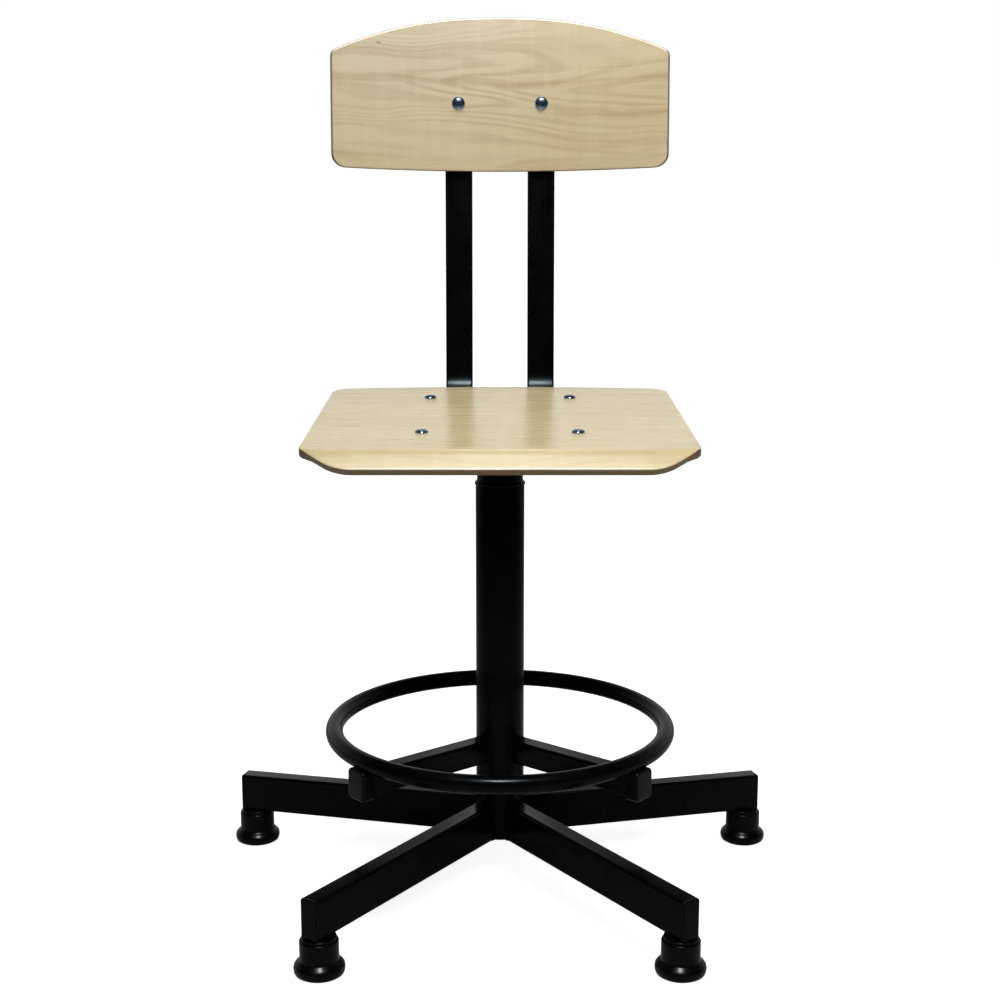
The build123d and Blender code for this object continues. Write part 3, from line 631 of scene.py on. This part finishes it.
make_seat()
make_backrest()


# ---------------------------------------------------------------- column, bush, glides and ring


def make_column():
    low, high = box_mm("column_tube")
    outer, bore = high.x, high.x - column_wall
    bm = bmesh.new()
    turned(bm, [(bore, low.z), (outer, low.z), (outer, high.z), (bore, high.z)], arris=0.7)
    return finished(bm, "coated_column", steel_coat, "column_tube", ["column_tube"])


def make_bush():
    low, high = box_mm("guide_bush")
    tube_corner = box_mm("column_tube")[1]
    top_of_tube = tube_corner.z
    bore = box_mm("gas_cylinder")[1].x + 0.05
    sleeve = tube_corner.x - column_wall - 0.02
    lip_radius = high.x
    lip_top = top_of_tube + bush_lip_height
    collar = high.z - 0.2
    outline = [
        (bore, low.z),
        (sleeve, low.z),
        (sleeve, top_of_tube),
        (lip_radius, top_of_tube),
        (lip_radius, top_of_tube + bush_lip_height / 2),
        (lip_radius - bush_lip_height / 2, lip_top),
        (bush_collar_radius, lip_top),
        (bush_collar_radius, collar),
        (bore, collar),
    ]
    bm = bmesh.new()
    turned(bm, outline, arris=0.5)
    return finished(bm, "moulded_bush", finishes["black_plastic"], "guide_bush", ["guide_bush"])


def make_glide(place):
    node = f"glide_{place}"
    low, high = box_mm(node)
    centre = ((low.x + high.x) / 2, (low.y + high.y) / 2)
    widest = (high.x - low.x) / 2
    stem = glide_stem_radius
    height = high.z
    rim = [
        (widest - 3.6, 0.0),
        (widest - 1.3, 1.4),
        (widest - 0.25, 3.9),
        (widest, 6.7),
        (widest - 0.5, 9.2),
        (widest - 2.0, 11.2),
        (stem + 2.2, 12.6),
        (stem + 0.4, 14.2),
        (stem, 16.5),
        (stem, height - 1.4),
        (stem - 0.5, height - 0.4),
        (stem - 1.5, height),
    ]
    socket = [(glide_pin_radius, 2.0), (glide_pin_radius, height)]
    outline = socket + rim[::-1] + [(widest - 6.0, 0.6), (8.0, 0.6)]
    bm = bmesh.new()
    turned(bm, outline, centre, 80, 0.25, 2)
    return finished(bm, f"moulded_{node}", finishes["black_plastic"], node, [node], 38)


def make_foot_ring():
    low, high = box_mm("foot_ring")
    tube = (high.z - low.z) / 2
    radius = high.x - tube
    bm = bmesh.new()
    section = bmesh.ops.create_circle(bm, cap_ends=False, segments=32, radius=tube)["verts"]
    bmesh.ops.rotate(bm, verts=section, cent=(0, 0, 0), matrix=Matrix.Rotation(pi / 2, 3, "X"))
    bmesh.ops.translate(bm, verts=section, vec=(radius, 0, (low.z + high.z) / 2))
    geometry = section + list(bm.edges)
    bmesh.ops.spin(
        bm, geom=geometry, axis=(0, 0, 1), cent=(0, 0, 0), angle=2 * pi, steps=160, use_merge=True
    )
    bmesh.ops.remove_doubles(bm, verts=bm.verts, dist=0.0005)
    bmesh.ops.recalc_face_normals(bm, faces=bm.faces)
    return finished(bm, "coated_foot_ring", steel_coat, "foot_ring", ["foot_ring"])


def make_gas_cylinder():
    low, high = box_mm("gas_cylinder")
    outer, bore = high.x, high.x - cylinder_wall
    taper_start = box_mm("taper_socket")[0].z
    outline = [(bore, low.z), (outer, low.z), (outer, taper_start)]
    outline += [(outer - cylinder_taper, high.z), (bore, high.z)]
    bm = bmesh.new()
    turned(bm, outline, steps=80, arris=0.5)
    slot = slot_of["gas_cylinder"]
    return finished(bm, "finished_gas_cylinder", finishes[slot], "gas_cylinder", ["gas_cylinder"])


make_column()
make_bush()
make_foot_ring()
make_gas_cylinder()
for place in PLACES:
    make_glide(place)


# ---------------------------------------------------------------- screws


def make_screws(name, head_diameter, shank, node, frame_at, places):
    """Dome-headed screws: the head stands on its seat at the local origin and the shank goes down."""
    bm = bmesh.new()
    radius = head_diameter / 2
    rise = screw_head_height - screw_head_rim
    dome = [(radius * cos(turn), screw_head_rim + rise * sin(turn)) for turn in evenly(0, pi / 2, 9)]
    body = screw_shank_radius
    outline = [(0, -shank), (body - 0.4, -shank), (body, -shank + 0.6), (body, 0.0), (radius - 0.25, 0.0)]
    outline += dome
    for place in places:
        new = turned(bm, outline, steps=40)
        bmesh.ops.transform(bm, matrix=frame_at @ Matrix.Translation(place), verts=new)
    bmesh.ops.recalc_face_normals(bm, faces=bm.faces)
    return finished(bm, name, finishes[slot_of[node]], node, [node], 40)


half_across, half_along = screw_pattern[0] / 2, screw_pattern[1] / 2
seat_places = [
    Vector((side * half_across, screw_pattern_centre + end * half_along, 0))
    for side in (-1, 1)
    for end in (-1, 1)
]
make_screws("domed_seat_screws", seat_screw_head, seat_screw_shank, "seat_screws", seat_frame, seat_places)

outer_back = back_radius + back_thickness
contact_across = (upright_spacing - upright_width) / 2
bow_middle = -sqrt(outer_back**2 - contact_across**2)
screw_depth = bow_middle + sqrt(back_radius**2 - (upright_spacing / 2) ** 2)
facing = back_frame @ Matrix.Translation((0, screw_depth, 0)) @ Matrix.Rotation(pi / 2, 4, "X")
back_places = [Vector((side * upright_spacing / 2, back_screw_height, 0)) for side in (-1, 1)]
back_shank = upright_depth - screw_depth + back_screw_tail
make_screws("domed_back_screws", back_screw_head, back_shank, "back_screws", facing, back_places)


# ---------------------------------------------------------------- CAD shapes with soft arrises

for place in PLACES:
    soft_piece(f"leg_{place}", 0.5, 2)
    soft_piece(f"leg_end_plate_{place}", 0.35, 2, 40)
for place in ARM_PLACES:
    soft_piece(f"ring_arm_{place}", 0.4, 2)
    soft_piece(f"arm_cap_{place}", 0.5, 3, 40)
for node, width in {
    "stem_sleeves": 0.6,
    "upright_left": 0.3,
    "upright_right": 0.3,
    "upright_plugs": 0.7,
    "seat_plate": 0.8,
    "taper_socket": 0.5,
    "lever_bracket": 0.6,
    "lever_pivot": 0.35,
    "release_lever": 0.3,
    "lever_grip": 0.4,
    "seat_nuts": 0.35,
    "seat_washers": 0.25,
    "back_nuts": 0.35,
    "back_washers": 0.25,
}.items():
    soft_piece(node, width)

for name, shown in nodes.items():
    if not shown.hide_render:
        shown.data.materials.clear()
        shown.data.materials.append(finishes[slot_of[name]])


# ---------------------------------------------------------------- welds


def bead(name, like, loops, radius):
    """Weld beads: rippled round runs along these closed loops of points, with this radius, in millimetres."""
    bm = bmesh.new()
    for loop in loops:
        sections = []
        count = len(loop)
        for index, point in enumerate(loop):
            along = (loop[(index + 1) % count] - loop[index - 1]).normalized()
            swell = radius * (1 + 0.10 * cos(index * 2.1))
            ring = bmesh.ops.create_circle(bm, cap_ends=False, segments=8, radius=swell)["verts"]
            turn = along.to_track_quat("Z", "X").to_matrix().to_4x4()
            bmesh.ops.transform(bm, matrix=Matrix.Translation(point) @ turn, verts=ring)
            sections.append(ring)
        for index, ring in enumerate(sections):
            following = sections[(index + 1) % count]
            edges = {e for v in ring for e in v.link_edges if e.other_vert(v) in ring}
            edges |= {e for v in following for e in v.link_edges if e.other_vert(v) in following}
            bmesh.ops.bridge_loops(bm, edges=list(edges))
    bmesh.ops.recalc_face_normals(bm, faces=bm.faces)
    return finished(bm, name, steel_coat, like)


def tube_outline(width, height, radius, spacing):
    """Points round a rounded rectangle, evenly spaced by angle on its corners and by length on its sides."""
    points = []
    for quarter, (sx, sy) in enumerate(((1, 1), (-1, 1), (-1, -1), (1, -1))):
        cx, cy = sx * (width / 2 - radius), sy * (height / 2 - radius)
        for step in evenly(0, pi / 2, 3):
            turn = quarter * pi / 2 + step
            points.append((cx + radius * cos(turn), cy + radius * sin(turn)))
    full = []
    for (ax, ay), (bx, by) in zip(points, points[1:] + points[:1]):
        pieces = max(1, round(sqrt((ax - bx) ** 2 + (ay - by) ** 2) / spacing))
        full += [(ax + (bx - ax) * i / pieces, ay + (by - ay) * i / pieces) for i in range(pieces)]
    return full


def joint_loop(angle, level, droop, width, height):
    """The line where a tube at this angle meets the column."""
    radius = box_mm("column_tube")[1].x
    turn = Matrix.Rotation(radians(angle), 3, "Z")
    loop = []
    for side, rise in tube_outline(width, height, tube_corner_radius, 1.7):
        reach = sqrt((radius + 0.35) ** 2 - side**2)
        loop.append(turn @ Vector((reach, side, level + rise - reach * tan(radians(droop)))))
    return loop


leg_angles = (-54, 18, 90, 162, 234)
arm_angles = (-40, 90, 220)
arm_level = box_mm("ring_arm_back")[1].z - arm_size[1] / 2
leg_welds = [joint_loop(angle, leg_level, leg_droop, *leg_size) for angle in leg_angles]
arm_welds = [joint_loop(angle, arm_level, 0.0, *arm_size) for angle in arm_angles]
bead("leg_welds", "column_tube", leg_welds, leg_weld_radius)
bead("arm_welds", "column_tube", arm_welds, arm_weld_radius)


# ---------------------------------------------------------------- stage, light and camera


def make_floor():
    bm = bmesh.new()
    bmesh.ops.create_grid(bm, x_segments=4, y_segments=4, size=14.0)
    mesh = bpy.data.meshes.new("floor")
    bm.to_mesh(mesh)
    bm.free()
    floor = bpy.data.objects.new("floor", mesh)
    bpy.context.scene.collection.objects.link(floor)
    shader = Shader("pale studio floor")
    place = shader.place()
    tone = shader.noise(place, 0.8, 2.0)
    away = shader.node("ShaderNodeVectorMath", {0: place}, operation="LENGTH").outputs["Value"]
    seen = shader.node("ShaderNodeLightPath", {}).outputs["Is Camera Ray"]
    glow = shader.spread(away, 0.3, 1.3, 0.84, 1.0, True)
    shader.set(
        Base_Color=shader.blend(tone, (0.80, 0.80, 0.80, 1), (0.83, 0.83, 0.83, 1)),
        Roughness=0.9,
        Specular_IOR_Level=0.0,
        Emission_Color=(1, 1, 1, 1),
        Emission_Strength=shader.maths("MULTIPLY", seen, glow),
    )
    mesh.materials.append(shader.material)


def make_world():
    """A white backdrop behind the stool and a dimmer room in front of it; the camera sees plain white."""
    world = bpy.data.worlds.new("studio")
    bpy.context.scene.world = world
    world.use_nodes = True
    tree = world.node_tree
    background = tree.nodes["Background"]

    def eased(value, low, high, to_low, to_high):
        inputs = {"Value": value, "From Min": low, "From Max": high, "To Min": to_low, "To Max": to_high}
        return add_node(tree, "ShaderNodeMapRange", inputs, interpolation_type="SMOOTHSTEP").outputs[0]

    direction = add_node(tree, "ShaderNodeTexCoord", {}).outputs["Generated"]
    parts = add_node(tree, "ShaderNodeSeparateXYZ", {"Vector": direction}).outputs
    behind = eased(parts["Y"], 0.0, 0.5, 0.0, 1.0)
    low = eased(parts["Z"], 0.35, 0.75, 1.0, 0.0)
    backdrop = add_node(tree, "ShaderNodeMath", {0: behind, 1: low}, operation="MULTIPLY").outputs[0]
    levels = {"Value": backdrop, "To Min": 0.05, "To Max": 0.75}
    lit = add_node(tree, "ShaderNodeMapRange", levels).outputs[0]
    seen = add_node(tree, "ShaderNodeLightPath", {}).outputs["Is Camera Ray"]
    strength = add_node(tree, "ShaderNodeMath", {0: lit, 1: seen}, operation="MAXIMUM").outputs[0]
    tree.links.new(strength, background.inputs["Strength"])
    background.inputs["Color"].default_value = (1, 1, 1, 1)


def softbox(name, place, aim, width, height, power, kind):
    """A rectangular lamp: a "fill" lights without being mirrored, a "glint" is only seen in reflections."""
    light = bpy.data.lights.new(name, "AREA")
    light.shape = "RECTANGLE"
    light.size = width
    light.size_y = height
    light.energy = power
    lamp = bpy.data.objects.new(name, light)
    lamp.visible_glossy = kind == "glint"
    lamp.visible_diffuse = kind == "fill"
    lamp.location = place
    lamp.rotation_euler = (Vector(aim) - Vector(place)).to_track_quat("-Z", "Y").to_euler()
    bpy.context.scene.collection.objects.link(lamp)


def make_camera():
    data = bpy.data.cameras.new("camera")
    data.lens = 58.74
    data.sensor_width = 36.0
    camera = bpy.data.objects.new("camera", data)
    camera.location = (0.0, -1.6428, 0.7173)
    camera.rotation_euler = (radians(90 - 10.789), 0, 0)
    bpy.context.scene.collection.objects.link(camera)
    bpy.context.scene.camera = camera


make_floor()
make_world()
softbox("key", (0.45, -1.2, 1.40), (0, 0, 0.6), 1.0, 0.6, 12, "fill")
softbox("second", (-1.2, -2.2, 1.0), (0, 0, 0.5), 1.4, 1.0, 1.5, "fill")
softbox("overhead", (0, -0.35, 2.5), (0, 0, 0.4), 0.7, 0.7, 24, "fill")
softbox("glint", (0, -1.35, 2.45), (0, 0, 0.4), 0.35, 0.35, 150, "glint")
make_camera()
bpy.context.scene.view_settings.view_transform = "Standard"
